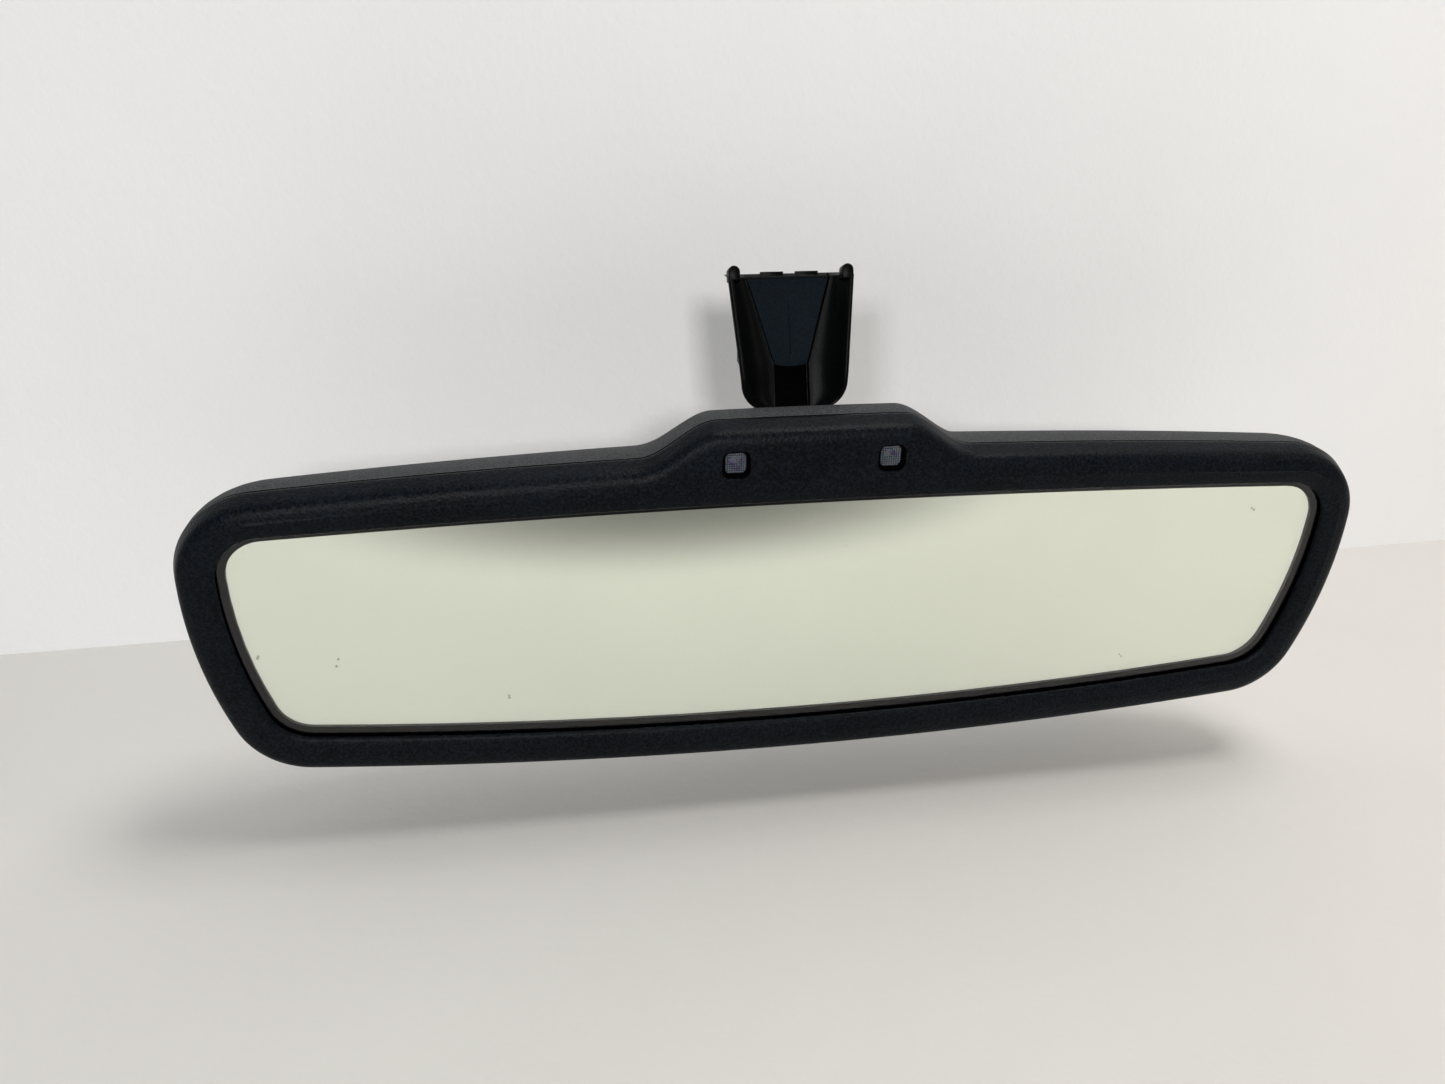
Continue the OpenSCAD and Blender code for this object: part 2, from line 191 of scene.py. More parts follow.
def moulded(name, colour, rough, coat=0.0):
    """Plain moulded plastic or rubber with faint flow marks."""
    m = Nodes(name)
    if coat:
        m.set(coat=coat, coat_rough=0.15)
    flow = m.noise(120, 4)
    speck = m.noise(2200, 2)
    m.link(m.ramp(flow, [(0.3, scaled(colour, 0.85)), (0.7, scaled(colour, 1.2))]), "Base Color")
    m.link(m.spread(flow, rough - 0.06, rough + 0.06), "Roughness")
    m.link(m.bump(m.blend(flow, 1, speck, 0.5), 0.00002), "Normal")


def metal(name, colour, rough, stretch=(1, 1, 12)):
    """Bare or plated metal; stretch is how much closer its brush marks lie along x, y and z."""
    m = Nodes(name)
    m.set(metal=1.0)
    streaks = m.noise(500, 5, 0.65, stretch)
    stains = m.noise(90, 3)
    m.link(m.ramp(stains, [(0.3, scaled(colour, 0.8)), (0.7, scaled(colour, 1.1))]), "Base Color")
    m.link(m.spread(streaks, rough - 0.12, rough + 0.12), "Roughness")
    m.link(m.bump(streaks, 0.00001), "Normal")


def silvered(name):
    """The mirror coating on the rear pane, with its faint green-grey cast."""
    m = Nodes(name)
    m.set(metal=1.0)
    haze = m.noise(14, 3)
    m.link(m.ramp(haze, [(0.35, (0.92, 0.935, 0.85)), (0.7, (0.95, 0.96, 0.875))]), "Base Color")
    m.link(m.spread(haze, 0.012, 0.03), "Roughness")


def clear_glass(name, colour, rough=0.0, ior=1.5):
    """Clear glass or resin with small specks of dust."""
    m = Nodes(name)
    m.set(through=1.0, ior=ior)
    dust = m.cells(70)
    m.link(m.ramp(dust, [(0.018, (0.25, 0.24, 0.2)), (0.03, colour)]), "Base Color")
    m.link(m.spread(m.noise(20, 2), rough, rough + 0.004), "Roughness")


def circuit_laminate(name):
    """Green solder mask with copper tracks showing through it."""
    m = Nodes(name)
    m.set(coat=0.6, coat_rough=0.12)
    tracks = m.cells(260, "DISTANCE_TO_EDGE", 0.35)
    m.link(m.ramp(tracks, [(0.05, (0.02, 0.2, 0.07)), (0.12, (0.01, 0.09, 0.03))]), "Base Color")
    m.link(m.spread(m.noise(300), 0.3, 0.45), "Roughness")
    m.link(m.bump(tracks, 0.00003), "Normal")


def foam_rubber(name):
    m = Nodes(name)
    pores = m.cells(1800)
    m.link(m.ramp(pores, [(0.1, (0.01, 0.01, 0.01)), (0.6, (0.05, 0.05, 0.052))]), "Base Color")
    m.link(m.spread(pores, 0.8, 0.95), "Roughness")
    m.link(m.bump(pores, 0.0002), "Normal")


def woven_wire(name):
    """Fine steel cloth with faint heat colours."""
    m = Nodes(name)
    m.set(metal=1.0)
    film = m.noise(700, 2)
    m.link(m.ramp(film, [(0.36, (0.42, 0.3, 0.6)), (0.46, (0.52, 0.55, 0.6)), (0.56, (0.36, 0.56, 0.66)),
                         (0.66, (0.58, 0.44, 0.38))]), "Base Color")
    m.link(m.spread(film, 0.3, 0.42), "Roughness")


def make_head_materials():
    grained_plastic("case_plastic", (0.028, 0.0295, 0.0315), 0.62, 0.0004, 0.00014,
                    specular=0.15, contrast=0.4)
    # The bezel's own colour is near black; its faint blue cast is painted sheen, the bluish sheen of its front
    # put into the colour.
    grained_plastic("bezel_plastic", (0.0022, 0.0032, 0.0046), 0.4, 0.0005, 0.00008,
                    specular=0.065, contrast=0.8)
    # recess_black is painted shade: near black and without gloss, for the walls of recesses and gaps, standing
    # in for the shade inside them.
    grained_plastic("recess_black", (0.001, 0.001, 0.0011), 0.8, 0.0005, 0.00002, specular=0.0)
    woven_wire("mesh_metal")
    clear_glass("mirror_glass", (0.97, 0.99, 0.97))
    silvered("mirror_coating")
    moulded("seal_epoxy", (0.004, 0.004, 0.0045), 0.6)
    metal("spring_metal", (0.62, 0.62, 0.6), 0.32)
    foam_rubber("foam")
    moulded("carrier_plastic", (0.06, 0.062, 0.066), 0.5)
    circuit_laminate("board_laminate")
    metal("screw_steel", (0.6, 0.6, 0.62), 0.3)
    moulded("chip_plastic", (0.015, 0.015, 0.016), 0.55)
    moulded("sensor_plastic", (0.6, 0.56, 0.42), 0.2, coat=0.5)
    clear_glass("clear_plastic", (0.86, 0.92, 0.95), 0.06, 1.58)
    moulded("connector_plastic", (0.018, 0.018, 0.02), 0.42)
    metal("contact_brass", (0.83, 0.62, 0.28), 0.25)
    moulded("boot_rubber", (0.012, 0.012, 0.013), 0.75)
    metal("capsule_metal", (0.7, 0.7, 0.72), 0.32)


def make_mount_materials():
    metal("plate_steel", (0.52, 0.53, 0.56), 0.36)
    moulded("socket_plastic", (0.014, 0.014, 0.015), 0.45)
    metal("cup_steel", (0.55, 0.55, 0.57), 0.3)
    moulded("liner_plastic", (0.62, 0.6, 0.54), 0.4)
    metal("stud_steel", (0.56, 0.56, 0.58), 0.22, (1, 12, 1))
    grained_plastic("bracket_zinc", (0.02, 0.02, 0.022), 0.5, 0.0006, 0.00008)
    metal("screw_black", (0.07, 0.07, 0.075), 0.4)
    grained_plastic("cover_plastic", (0.0011, 0.0013, 0.0015), 0.36, 0.00028, 0.00003, specular=0.06)
    # The panel is black plastic; its colour is made lighter and bluer than the cover's by painted sheen, the
    # light from above that its upward-facing front reflects.
    grained_plastic("panel_plastic", (0.0028, 0.0052, 0.008), 0.46, 0.00028, 0.00003, specular=0.03)


def dress_cad():
    """Gives every CAD node the material of its slot in the record."""
    slots = {part["node"]: part["material_slot"] for part in frame["record"]["subparts"]}
    for name, node in nodes.items():
        node.data.materials.clear()
        node.data.materials.append(MATERIALS[slots[name]])


def soften(name, width):
    """Rounds the sharp edges of a CAD node; width is in millimetres."""
    weld = nodes[name].modifiers.new("weld", "WELD")
    weld.merge_threshold = 0.002 * MM
    bevel = nodes[name].modifiers.new("bevel", "BEVEL")
    bevel.width = width * MM
    bevel.segments = 2
    bevel.limit_method = "ANGLE"
    bevel.angle_limit = math.radians(50)
    bevel.harden_normals = True


make_head_materials()
make_mount_materials()
dress_cad()
soften("mount_bracket", 0.5)
soften("connector_header", 0.2)


# ---------------------------------------------------------------- mesh helpers
SHARP = math.radians(35)      # edges sharper than this stay crisp


def new_piece(name, verts, faces, slot, body, *replaced):
    """A piece from points in head millimetres, riding on a body and standing for CAD nodes."""
    mesh = bpy.data.meshes.new(name)
    mesh.from_pydata([at(*v) for v in verts], [], faces)
    piece = bpy.data.objects.new(name, mesh)
    bpy.context.scene.collection.objects.link(piece)
    finish_mesh(piece)
    mesh.materials.append(MATERIALS[slot])
    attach(piece, body)
    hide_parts(*replaced)
    return piece


def finish_mesh(piece):
    """Outward normals, and smooth shading that stops at sharp edges."""
    work = bmesh.new()
    work.from_mesh(piece.data)
    bmesh.ops.recalc_face_normals(work, faces=work.faces)
    for face in work.faces:
        face.smooth = True
    for edge in work.edges:
        edge.smooth = edge.calc_face_angle(0) < SHARP
    work.to_mesh(piece.data)
    work.free()


def bands(n, rings, closed=True):
    """Faces that join rings of n points, the last to the first too if closed."""
    faces = []
    for r in range(rings if closed else rings - 1):
        a, b = r * n, ((r + 1) % rings) * n
        faces += [(a + i, b + i, b + (i + 1) % n, a + (i + 1) % n) for i in range(n)]
    return faces


def capped(n, rings):
    """Faces of a stack of rings of n points, closed at both ends."""
    last = (rings - 1) * n
    return bands(n, rings, False) + [tuple(range(n)), tuple(range(last + n - 1, last - 1, -1))]


def append_solid(verts, faces, points, n):
    """Adds a stack of rings of n points to a mesh as a closed solid."""
    start = len(verts)
    verts += points
    faces += [tuple(start + i for i in face) for face in capped(n, len(points) // n)]


def cut(piece, cutters, inside=None):
    """Subtracts closed meshes (points, faces) from a piece; inside is the material of the new faces."""
    for verts, faces in cutters:
        mesh = bpy.data.meshes.new("cutter")
        mesh.from_pydata([at(*v) for v in verts], [], faces)
        tool = bpy.data.objects.new("cutter", mesh)
        bpy.context.scene.collection.objects.link(tool)
        finish_mesh(tool)
        modifier = piece.modifiers.new("cut", "BOOLEAN")
        if inside:
            mesh.materials.append(MATERIALS[inside])
            modifier.material_mode = "TRANSFER"
        modifier.operation = "DIFFERENCE"
        modifier.solver = "EXACT"
        modifier.object = tool
        depsgraph = bpy.context.evaluated_depsgraph_get()
        cut_mesh = bpy.data.meshes.new_from_object(piece.evaluated_get(depsgraph))
        piece.modifiers.clear()
        old = piece.data
        piece.data = cut_mesh
        bpy.data.meshes.remove(old)
        bpy.data.objects.remove(tool)
    finish_mesh(piece)


def prism_y(outline_xz, y0, y1):
    """A closed mesh over an outline in x and z, between two depths."""
    verts = [(x, y, z) for y in (y0, y1) for x, z in outline_xz]
    return verts, capped(len(outline_xz), 2)


def rounded_rect(cx, cz, w, h, r, steps=8):
    """Outline of a rectangle with round corners."""
    points = []
    for k, (sx, sz) in enumerate(((1, 1), (-1, 1), (-1, -1), (1, -1))):
        for i in range(steps + 1):
            a = math.radians(90 * (k + i / steps))
            points.append((cx + sx * (w / 2 - r) + r * math.cos(a), cz + sz * (h / 2 - r) + r * math.sin(a)))
    return points


def circle(cx, cz, r, steps):
    turns = [2 * math.pi * i / steps for i in range(steps)]
    return [(cx + r * math.cos(a), cz + r * math.sin(a)) for a in turns]


def smooth(t):
    """0 below 0, 1 above 1 and a soft step between."""
    u = max(0.0, min(1.0, t))
    return u * u * (3 - 2 * u)


# ---------------------------------------------------------------- outlines of glass and housing
FINE = 4                      # points here for each point of the CAD outline
GLASS_LAP = 1.8               # how far the glass reaches behind the bezel's lip
HUMP_FLAT, HUMP_SLOPE = 19.5, 16
HUMP_END = HUMP_FLAT + HUMP_SLOPE
CASE_TOP = 37.1
HUMP_H = millimetres(bezel_hi).z - CASE_TOP
PARTING_Y = 4
CASE_BACK = millimetres(case_hi).y
glass_half_w = millimetres(glass_hi).x - GLASS_LAP
glass_half_h = millimetres(glass_hi).z - GLASS_LAP
case_half_w = millimetres(bezel_hi).x
case_bottom = millimetres(bezel_lo).z

# Arcs for the top, the sides and the bottom, joined by an upper and a lower corner arc on each side
Arcs = namedtuple("Arcs", "top_z top_r side_x side_z side_r bottom_z bottom_r upper_r lower_r")
OPENING = Arcs(glass_half_h, 3100, glass_half_w, 13.5, 90, -glass_half_h, 1087, 9.5, 9.5)
SHELL = Arcs(CASE_TOP, 1680, case_half_w, 11.5, 94, case_bottom, 1120, 18, 17.5)
BACK = Arcs(18, 160, 66, 1, 60, -18, 400, 8, 10)


def meet(a, ra, b, rb):
    """Point at distance ra from a and rb from b, on the right of the line from a to b."""
    d = b - a
    length = d.length
    t = (ra * ra - rb * rb + length * length) / (2 * length)
    h = math.sqrt(ra * ra - t * t)
    return a + d * (t / length) + Vector((d.y, -d.x)) * (h / length)


def arc(centre, r, a0, a1, n):
    """n points from angle a0 towards a1, which the next arc starts with."""
    turn = (a1 - a0) / n
    return [(centre.x + r * math.cos(a0 + turn * i), centre.y + r * math.sin(a0 + turn * i)) for i in range(n)]


def angle(v):
    return math.atan2(v.y, v.x)


def hump(x):
    """How far the microphone hump stands above the top edge at x."""
    return HUMP_H * smooth((HUMP_END - abs(x)) / HUMP_SLOPE)


def top_places(x1):
    """Places across the right half of the top edge, as in the CAD model but FINE times as many."""
    coarse = [0, HUMP_FLAT / 2] + [HUMP_FLAT - 1 + i * (HUMP_SLOPE + 2) / 9 for i in range(10)]
    coarse += [HUMP_END + 1 + (x1 - HUMP_END - 1) * i / 6 for i in range(1, 7)]
    return [coarse[i] + (coarse[i + 1] - coarse[i]) * k / FINE
            for i in range(len(coarse) - 1) for k in range(FINE)]


def outline(p, d=0.0, k=0.0):
    """Outline grown by d, clockwise seen from the front; k is the share of the hump that it shows."""
    top_r, side_r, bottom_r = p.top_r + d, p.side_r + d, p.bottom_r + d
    upper_r, lower_r = p.upper_r + d, p.lower_r + d
    top = Vector((0, p.top_z - p.top_r))
    side = Vector((p.side_x - p.side_r, p.side_z))
    bottom = Vector((0, p.bottom_z + p.bottom_r))
    upper = meet(top, top_r - upper_r, side, side_r - upper_r)
    lower = meet(side, side_r - lower_r, bottom, bottom_r - lower_r)
    a1, a2 = angle(upper - top), angle(upper - side)
    a3, a4 = angle(lower - side), angle(lower - bottom)
    half = [(x, top.y + math.sqrt(top_r * top_r - x * x) + k * hump(x))
            for x in top_places(top_r * math.cos(a1))]
    half += arc(upper, upper_r, a1, a2, 8 * FINE)
    half += arc(side, side_r, a2, a3, 6 * FINE)
    half += arc(lower, lower_r, a3, a4, 8 * FINE)
    half += arc(bottom, bottom_r, a4, -math.pi / 2, 8 * FINE)
    half.append((0, p.bottom_z - d))
    return half + [(-x, z) for x, z in half[-2:0:-1]]


def ring(p, d, y, k=0.0):
    """The outline grown by d, at depth y."""
    return [(x, y, z) for x, z in outline(p, d, k)]


# ---------------------------------------------------------------- bezel
# Each ring of the section: how far the outline is grown, and its depth
LIP = [(1.0, 0.0), (0.25, -0.25), (0.0, -0.6), (0.05, -0.95), (0.25, -1.22), (0.6, -1.42),
       (1.4, -1.66), (2.3, -1.8), (3.2, -1.88)]
RIM = [(-4.4, -1.9), (-3.6, -1.8), (-2.9, -1.62), (-2.2, -1.3), (-1.6, -0.85), (-1.15, -0.3),
       (-0.85, 0.4), (-0.55, 1.25), (-0.25, 2.2), (0.0, 3.0), (0.0, 3.6), (-0.06, 3.74),
       (-0.22, 3.8), (-2.4, 3.8), (-2.4, 7.4), (-3.4, 7.4), (-3.4, 1.6), (-4.8, 0.3)]
SEAT = [(3.6, 0.1), (3.6, 4.6), (2.2, 4.6), (2.2, 0.0)]
CROWN_STEPS, CROWN = 6, 0.11  # the slight crown between the lip and the rim

MIC_X, MIC_Z = 16.2, 36.7
MESH_W, MESH_H = 4.3, 4.4
WINDOW_GAP, WINDOW_R = 0.1, 1.05
WINDOW_FRONT, WINDOW_BACK = -6, 0.9
# The flared mouth of a microphone window: how much wider than the mesh it is, and its depth
FLARE = [(0, -0.9), (0.5, -1.45), (1.1, -1.8), (2.4, -2.3)]


def crown_rings():
    """Rings that cross the bezel's front, from the lip's last ring to the rim's first."""
    inner, outer = outline(OPENING, LIP[-1][0]), outline(SHELL, RIM[0][0], 1)
    rings = []
    for i in range(1, CROWN_STEPS):
        t = i / CROWN_STEPS
        y = LIP[-1][1] - CROWN * math.sin(math.pi * t)
        rings.append([(a[0] + (b[0] - a[0]) * t, y, a[1] + (b[1] - a[1]) * t)
                      for a, b in zip(inner, outer)])
    return rings


def window_cutters(x):
    """The straight hole and the flared mouth of the microphone window at x."""
    w, h = MESH_W + WINDOW_GAP, MESH_H + WINDOW_GAP
    hole = prism_y(rounded_rect(x, MIC_Z, w, h, WINDOW_R), WINDOW_FRONT, WINDOW_BACK)
    layers = [[(px, y, pz) for px, pz in rounded_rect(x, MIC_Z, MESH_W + d, MESH_H + d, 1 + d / 2)]
              for d, y in FLARE]
    mouth = [v for layer in layers for v in layer]
    return [hole, (mouth, capped(len(layers[0]), len(layers)))]


def make_bezel():
    rings = [ring(OPENING, d, y) for d, y in LIP]
    rings += crown_rings()
    rings += [ring(SHELL, d, y, 1) for d, y in RIM]
    rings += [ring(OPENING, d, y) for d, y in SEAT]
    verts = [v for one in rings for v in one]
    faces = bands(len(rings[0]), len(rings))
    piece = new_piece("bezel_frame", verts, faces, "bezel_plastic", "head", "bezel")
    # The windows' new walls get recess_black: painted shade inside the recesses.
    cut(piece, window_cutters(-MIC_X) + window_cutters(MIC_X), "recess_black")


make_bezel()


# ---------------------------------------------------------------- rear case
CASE_WALL = 1.5
CASE_Y = PARTING_Y + 0.3
CASE_STEPS = 22
EDGE_GROWTH = -0.1            # the case's front edge sits a little inside the bezel's
HUMP_FADE_Y, HUMP_FADE = 10.5, 10.5                 # where the hump starts to sink, and over what depth
BALL_Z, BALL_OPENING_R = 5, 15.2
HEADER_X, HEADER_Z, HEADER_W, HEADER_H, HEADER_R = 66, 2, 24.4, 10.4, 1.5
PIPE_X, PIPE_Z, PIPE_R = 44, 3, 3.55
CUT_Y0, CUT_Y1 = 10, 32


def case_ring(t, inset):
    """Ring of the surface at the fraction t of the way from the front edge to the flat back."""
    front, rear = outline(SHELL, -inset), outline(BACK, -inset / 2)
    a = math.radians(90 * t)
    w, s = 1 - max(0.0, math.cos(a)) ** 0.92, math.sin(a) ** 0.86
    y = CASE_Y + (CASE_BACK - CASE_Y - inset) * s
    share = 1 - smooth((y - HUMP_FADE_Y) / HUMP_FADE)
    points = []
    for q, r in zip(front, rear):
        x, z = q[0] + w * (r[0] - q[0]), q[1] + w * (r[1] - q[1])
        points.append((x, y, z + (hump(q[0]) * share if z > 0 else 0)))
    return points


def make_rear_case():
    places = [(i / CASE_STEPS) ** 1.15 for i in range(CASE_STEPS + 1)]
    edge = [(x, CASE_Y, z + (hump(x) if z > 0 else 0)) for x, z in outline(SHELL, EDGE_GROWTH)]
    outer = [edge] + [case_ring(t, 0) for t in places[1:]]
    inner = [case_ring(t, CASE_WALL) for t in places]
    rings = outer + inner[::-1]
    n, split = len(edge), len(outer)
    faces = bands(n, len(rings))
    # The flat back and the flat inner face close the two surfaces, in place of a band between them
    del faces[(split - 1) * n:split * n]
    edge_faces = slice(len(faces) - n, len(faces))
    faces.append(tuple(range((split - 1) * n, split * n)))
    faces.append(tuple(range(split * n, (split + 1) * n)))
    verts = [v for one in rings for v in one]
    piece = new_piece("rear_shell", verts, faces, "case_plastic", "head", "rear_case")
    # The front edge's end face is seen only in the parting line's gap; it gets recess_black, painted shade
    # standing in for the shadow there.
    piece.data.materials.append(MATERIALS["recess_black"])
    for polygon in piece.data.polygons[edge_faces]:
        polygon.material_index = 1
    holes = [circle(0, BALL_Z, BALL_OPENING_R, 128),
             rounded_rect(HEADER_X, HEADER_Z, HEADER_W, HEADER_H, HEADER_R),
             circle(PIPE_X, PIPE_Z, PIPE_R, 64)]
    cut(piece, [prism_y(hole, CUT_Y0, CUT_Y1) for hole in holes])


make_rear_case()


# ---------------------------------------------------------------- microphone mesh
WIRES = 9                     # wires each way
WIRE_R = 0.085
WEAVE = 0.06                  # how far a wire rises and falls
MESH_R, MESH_Y = 1.0, -0.83


def in_window(x, z):
    """Whether a point lies inside the window's rounded outline."""
    dx, dz = max(0, abs(x) - (MESH_W / 2 - MESH_R)), max(0, abs(z) - (MESH_H / 2 - MESH_R))
    return math.hypot(dx, dz) <= MESH_R and abs(x) <= MESH_W / 2 and abs(z) <= MESH_H / 2


def wire_run(i, across):
    """Middle line of the wire number i, as far as the window shows it."""
    pitch = MESH_W / WIRES
    line = (i + 0.5) * pitch - MESH_W / 2
    phase = i if across else i + 1
    run = []
    for k in range(2 * WIRES + 1):
        along = k * pitch / 2 - MESH_W / 2
        x, z = (along, line) if across else (line, along)
        if in_window(x, z):
            run.append((x, WEAVE * math.cos(math.pi * (k / 2 - 0.5 + phase)), z))
    return run


def make_mesh_cloth(side, name):
    """Woven wires of square section across one microphone window."""
    verts, faces = [], []
    corners = circle(0, 0, WIRE_R, 4)
    for across in (True, False):
        for i in range(WIRES):
            run = wire_run(i, across)
            if len(run) < 2:
                continue
            points = []
            for x, lift, z in run:
                for off, deep in corners:
                    dx, dz = (0, off) if across else (off, 0)
                    points.append((side * MIC_X + x + dx, MESH_Y + lift + deep, MIC_Z + z + dz))
            append_solid(verts, faces, points, len(corners))
    new_piece(name + "_cloth", verts, faces, "mesh_metal", "head", name)


make_mesh_cloth(-1, "mic_mesh_left")
make_mesh_cloth(1, "mic_mesh_right")


# ---------------------------------------------------------------- stem cover
COVER_X, COVER_Y, COVER_Z, COVER_LEAN = 0.9, 25.5, 41, math.radians(22)
COVER_BOTTOM, COVER_TOP, CHAMFER_TOP = -3.2, 25.7, 27.0
COVER_BACK = -2.4
FOOT_X, FOOT_V, FOOT_R = 5.95, 2.8, 6.0             # centre and radius of the round lower corners
WIDEN = 1.95 / 21.4           # how much a side leans out for each millimetre of height
WING_H, WING_DROP = 4.75, 1.9                       # rim of the wings, and how far it sinks at the foot
PANEL_TOP, PANEL_FOOT = 25.6, 6.95
PANEL_FOOT_W, PANEL_TOP_W = 3.65, 9.1               # half widths
FLOOR_W = -0.75               # the floor that the panel lies on
SLOT_FRONT, SLOT_BACK = 8, -1.6
SLOT_LOW, SLOT_HIGH = -9, 7.1


def on_cover(u, v, w):
    """u across the cover, v up its lean, w out of its front, in millimetres."""
    return (COVER_X + u, COVER_Y + v * math.sin(COVER_LEAN) - w * math.cos(COVER_LEAN),
            COVER_Z + v * math.cos(COVER_LEAN) + w * math.sin(COVER_LEAN))


def cover_half_width(v):
    if v >= FOOT_V:
        return FOOT_X + FOOT_R + (v - FOOT_V) * WIDEN
    return FOOT_X + math.sqrt(max(0.0, FOOT_R ** 2 - (FOOT_V - v) ** 2))


def panel_half_width(v):
    t = max(0.0, min(1.0, (v - PANEL_FOOT) / (PANEL_TOP - PANEL_FOOT)))
    return PANEL_FOOT_W + (PANEL_TOP_W - PANEL_FOOT_W) * t


def cover_section(v):
    """Right half of the cover's section at height v, from its middle round the rim to its back."""
    hw, pw = cover_half_width(v), panel_half_width(v)
    rim = WING_H - WING_DROP * smooth((5 - v) / 9)
    step = pw + 0.44
    points = [(0, FLOOR_W), (pw + 0.2, FLOOR_W), (pw + 0.32, -0.35), (step, 0.1)]
    for i in range(1, 11):
        s = i / 10
        points.append((step + (hw - 1.15 - step) * s, 0.1 + (rim - 0.35) * s ** 2.3))
    points += [(hw - inward, rim - down)
               for inward, down in ((0.9, 0.05), (0.6, 0), (0.3, 0.12), (0.08, 0.45), (0, 0.95))]
    return points + [(hw - 1.0, -1.2), (hw - 1.5, COVER_BACK + 0.4), (hw - 2.0, COVER_BACK), (0, COVER_BACK)]


def add_block(verts, faces, outline_uv, w0, w1, edge):
    """A closed block over an outline in u and v, with its front and back edges rounded."""
    cu = sum(u for u, v in outline_uv) / len(outline_uv)
    cv = sum(v for u, v in outline_uv) / len(outline_uv)
    soft = edge * 0.3
    layers = [(w0, edge), (w0 + soft, soft), (w0 + edge, 0), (w1 - edge, 0), (w1 - soft, soft), (w1, edge)]
    points = []
    for w, pull in layers:
        for u, v in outline_uv:
            d = math.hypot(u - cu, v - cv)
            k = (d - pull) / d
            points.append(on_cover(cu + (u - cu) * k, cv + (v - cv) * k, w))
    append_solid(verts, faces, points, len(outline_uv))


def add_lobes(verts, faces):
    """The lobe at each top corner and the two snap tabs on the top edge."""
    lobe_u, lobe_r, lobe_low, lobe_v = 12.6, 1.28, 24.8, 26.8
    tab_low, tab_high = 25, 27.4
    for s in (-1, 1):
        centre = lobe_u * s
        arch = [math.radians(a) for a in range(0, 181, 12)]
        lobe = [(centre + lobe_r * math.cos(a), lobe_v + lobe_r * math.sin(a)) for a in arch]
        lobe += [(centre - lobe_r, lobe_low), (centre + lobe_r, lobe_low)]
        add_block(verts, faces, lobe, 1.3, 4.7, 0.4)
        near, far = 0.7 + 1.4 * s, 0.7 + 6.5 * s
        tab = [(near, tab_low), (far, tab_low), (far, tab_high), (near, tab_high)]
        add_block(verts, faces, tab, -2.1, -1.0, 0.12)


def make_cover():
    levels = [COVER_BOTTOM + (FOOT_V - COVER_BOTTOM) * (i / 10) ** 1.8 for i in range(10)]
    levels += [FOOT_V + (COVER_TOP - FOOT_V) * i / 22 for i in range(23)]
    sections = [(v, cover_section(v)) for v in levels]
    top = cover_section(COVER_TOP)
    sections.append((COVER_TOP + 0.35, [(u, min(w, w * 0.85)) for u, w in top]))
    sections.append((CHAMFER_TOP, [(u, min(w, -1.3)) for u, w in top]))
    points = []
    for v, half in sections:
        loop = half + [(-u, w) for u, w in half[-2:0:-1]]
        points += [on_cover(u, v, w) for u, w in loop]
    verts, faces = [], []
    append_solid(verts, faces, points, len(points) // len(sections))
    add_lobes(verts, faces)
    piece = new_piece("stem_cover_shell", verts, faces, "cover_plastic", "mount", "stem_cover")
    corners = [(-PANEL_FOOT_W, SLOT_LOW), (PANEL_FOOT_W, SLOT_LOW), (PANEL_FOOT_W, SLOT_HIGH),
               (-PANEL_FOOT_W, SLOT_HIGH)]
    slot = [on_cover(u, v, w) for w in (SLOT_BACK, SLOT_FRONT) for u, v in corners]
    # The slot's new walls get recess_black: painted shade down the slot.
    cut(piece, [(slot, capped(4, 2))], "recess_black")


make_cover()


# ---------------------------------------------------------------- cover panel
PANEL_ROWS = 24
PANEL_BACK_W, PANEL_EDGE_W, PANEL_FACE_W = -0.6, 0.1, 0.3
LINE_LOW, LINE_HIGH, LINE_DEPTH = 9, 21, 0.12       # the mould line down the middle
PIN_V, PIN_R, PIN_SIDES = 18.5, 0.45, 24            # the ejector pin's mark
# Columns as shares of the panel's half width, closer at the mould line and the edges
COLUMNS = (-1, -0.985, -0.94, -0.6, -0.3, -0.05, -0.028, 0, 0.028, 0.05, 0.3, 0.6, 0.94, 0.985, 1)


def panel_face(s, v, at_end):
    """How far the panel's front stands out at the share s of its half width."""
    w = PANEL_EDGE_W if abs(s) > 0.99 or at_end else PANEL_FACE_W - 0.1 * (1 - s * s)
    if abs(s) < 0.01 and LINE_LOW < v < LINE_HIGH:
        w -= LINE_DEPTH
    return w


def grid_edge(n, rows):
    """Numbers of the points round a grid of rows of n points."""
    last = (rows - 1) * n
    edge = list(range(n)) + [r * n + n - 1 for r in range(1, rows)]
    return edge + [last + c for c in range(n - 2, -1, -1)] + [r * n for r in range(rows - 2, 0, -1)]


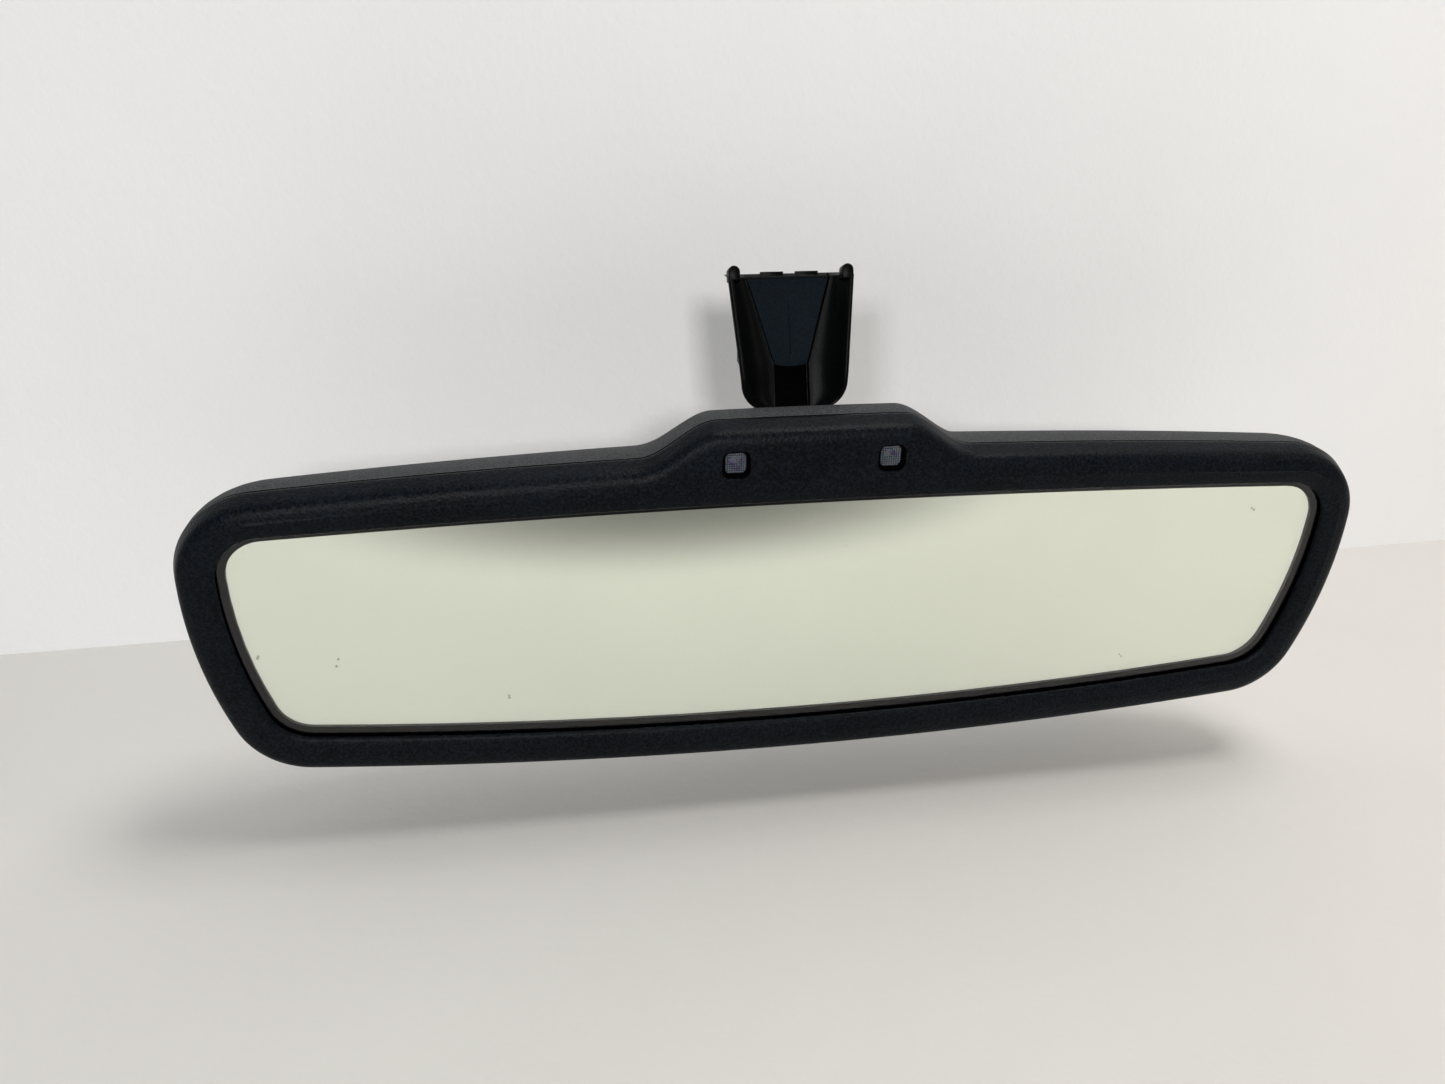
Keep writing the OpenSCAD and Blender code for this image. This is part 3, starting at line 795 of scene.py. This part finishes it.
def make_panel():
    """The flat trapezoid panel in the cover, with its mould line and pin mark."""
    n, count = len(COLUMNS), len(COLUMNS) * (PANEL_ROWS + 1)
    front, back = [], []
    for r in range(PANEL_ROWS + 1):
        v = PANEL_FOOT + (PANEL_TOP - PANEL_FOOT) * r / PANEL_ROWS
        for s in COLUMNS:
            sag = 0.45 * (1 - s * s) * (1 - smooth((v - PANEL_FOOT) / 5))
            u = s * panel_half_width(v)
            front.append(on_cover(u, v - sag, panel_face(s, v, r in (0, PANEL_ROWS))))
            back.append(on_cover(u, v - sag, PANEL_BACK_W))
    faces = []
    for r in range(PANEL_ROWS):
        for c in range(n - 1):
            a = r * n + c
            faces.append((a, a + 1, a + n + 1, a + n))
            faces.append((count + a, count + a + n, count + a + n + 1, count + a + 1))
    edge = grid_edge(n, PANEL_ROWS + 1)
    faces += [(a, b, count + b, count + a) for a, b in zip(edge, edge[1:] + edge[:1])]
    piece = new_piece("cover_panel_plate", front + back, faces, "panel_plastic", "mount", "cover_panel")
    pin = [on_cover(u, v, w) for w in (0.1, 0.6) for u, v in circle(0, PIN_V, PIN_R, PIN_SIDES)]
    cut(piece, [(pin, capped(PIN_SIDES, 2))])


make_panel()


# ---------------------------------------------------------------- floor and wall
FLOOR_Z = -52
WALL_TOP = 900
REACH = 2500                  # how far the floor and the wall go each way
WALL_A, WALL_B = (-211, 92.3), (260, 105.4)         # two places at the wall's foot
# A soft shadow painted on the floor in front of the mirror, which shows in its glass: centre, half width and
# half depth
SHADOW_X, SHADOW_Y, SHADOW_W, SHADOW_D = -10, -188, 150, 80
SHADOW_SHARE = 0.2              # how much of the floor's brightness is left there


def one_sided(m):
    """Makes a stage surface vanish from behind, so that it never hides the object."""
    behind = m.add("ShaderNodeNewGeometry").outputs["Backfacing"]
    clear = m.add("ShaderNodeBsdfTransparent").outputs[0]
    mix = m.add("ShaderNodeMixShader", {0: behind, 1: m.shader.outputs[0], 2: clear})
    m.tree.links.new(mix.outputs[0], m.tree.nodes["Material Output"].inputs["Surface"])


def paint_shadow(m, colour):
    """The colour with a soft painted shadow where the floor shows in the glass."""
    middle = at(SHADOW_X, SHADOW_Y, FLOOR_Z)
    place = m.add("ShaderNodeSeparateXYZ", {"Vector": m.coords})
    squares = []
    for i, half in ((0, SHADOW_W * MM), (1, SHADOW_D * MM)):
        away = m.math("SUBTRACT", place.outputs[i], middle[i])
        squares.append(m.math("POWER", m.math("DIVIDE", away, half), 2))
    share = m.add("ShaderNodeMapRange", {"Value": m.math("ADD", *squares), "To Min": SHADOW_SHARE},
                  interpolation_type="SMOOTHSTEP").outputs["Result"]
    return m.add("ShaderNodeVectorMath", {0: colour, "Scale": share}, operation="SCALE").outputs[0]


def stage_material(name, low, high, painted_shadow=False):
    """Matt paint that wanders between two tones, with the painted shadow if asked."""
    m = Nodes(name)
    m.set(rough=0.75, specular=0.2)
    colour = m.ramp(m.noise(6, 3), [(0.3, low), (0.7, high)])
    m.link(paint_shadow(m, colour) if painted_shadow else colour, "Base Color")
    m.link(m.bump(m.noise(400, 3), 0.0001), "Normal")
    one_sided(m)


def stage_plane(name, corners, slot):
    mesh = bpy.data.meshes.new(name)
    mesh.from_pydata([at(*corner) for corner in corners], [], [(0, 1, 2, 3)])
    mesh.materials.append(MATERIALS[slot])
    plane = bpy.data.objects.new(name, mesh)
    bpy.context.scene.collection.objects.link(plane)


def wall_foot(x):
    """y of the wall's foot at x."""
    return WALL_A[1] + (x - WALL_A[0]) * (WALL_B[1] - WALL_A[1]) / (WALL_B[0] - WALL_A[0])


def make_stage():
    # The floor carries the painted shadow in front of the mirror, which shows in the glass.
    stage_material("floor_paint", (0.62, 0.605, 0.58), (0.66, 0.645, 0.62), painted_shadow=True)
    stage_material("wall_paint", (0.80, 0.80, 0.805), (0.84, 0.84, 0.84))
    square = ((-REACH, -REACH), (REACH, -REACH), (REACH, REACH), (-REACH, REACH))
    stage_plane("floor", [(x, y, FLOOR_Z) for x, y in square], "floor_paint")
    wall = ((-REACH, FLOOR_Z), (REACH, FLOOR_Z), (REACH, WALL_TOP), (-REACH, WALL_TOP))
    stage_plane("wall", [(x, wall_foot(x), z) for x, z in wall], "wall_paint")


# ---------------------------------------------------------------- lights
Lamp = namedtuple("Lamp", "name place target size power colour")
LAMPS = (
    Lamp("top", (180, 40, 700), (0, 0, -50), (420, 240), 4.4, (1.0, 0.99, 0.97)),
    Lamp("front_right", (-52, -1094, 496), (0, 60, 40), (130, 130), 6.0, (1.0, 0.985, 0.96)),
    Lamp("side_warm", (430, -150, 260), (330, 60, -52), (200, 200), 0.25, (1.0, 0.84, 0.68)),
    Lamp("front_left", (-433, -1014, 496), (0, 60, 40), (130, 130), 3.7, (0.95, 0.975, 1.0)),
)
SKY, SKY_STRENGTH = (0.93, 0.96, 1.0, 1), 0.07


def area_light(lamp):
    data = bpy.data.lights.new(lamp.name, "AREA")
    data.shape = "RECTANGLE"
    data.size, data.size_y = lamp.size[0] * MM, lamp.size[1] * MM
    data.energy = lamp.power
    data.color = lamp.colour
    light = bpy.data.objects.new(lamp.name, data)
    light.location = at(*lamp.place)
    light.rotation_euler = (at(*lamp.target) - at(*lamp.place)).to_track_quat("-Z", "Y").to_euler()
    bpy.context.scene.collection.objects.link(light)


def make_lights():
    world = bpy.data.worlds.new("world")
    bpy.context.scene.world = world
    world.use_nodes = True
    background = world.node_tree.nodes["Background"]
    background.inputs["Color"].default_value = SKY
    background.inputs["Strength"].default_value = SKY_STRENGTH
    for lamp in LAMPS:
        area_light(lamp)


make_stage()
make_lights()
bpy.context.scene.view_settings.view_transform = "Standard"
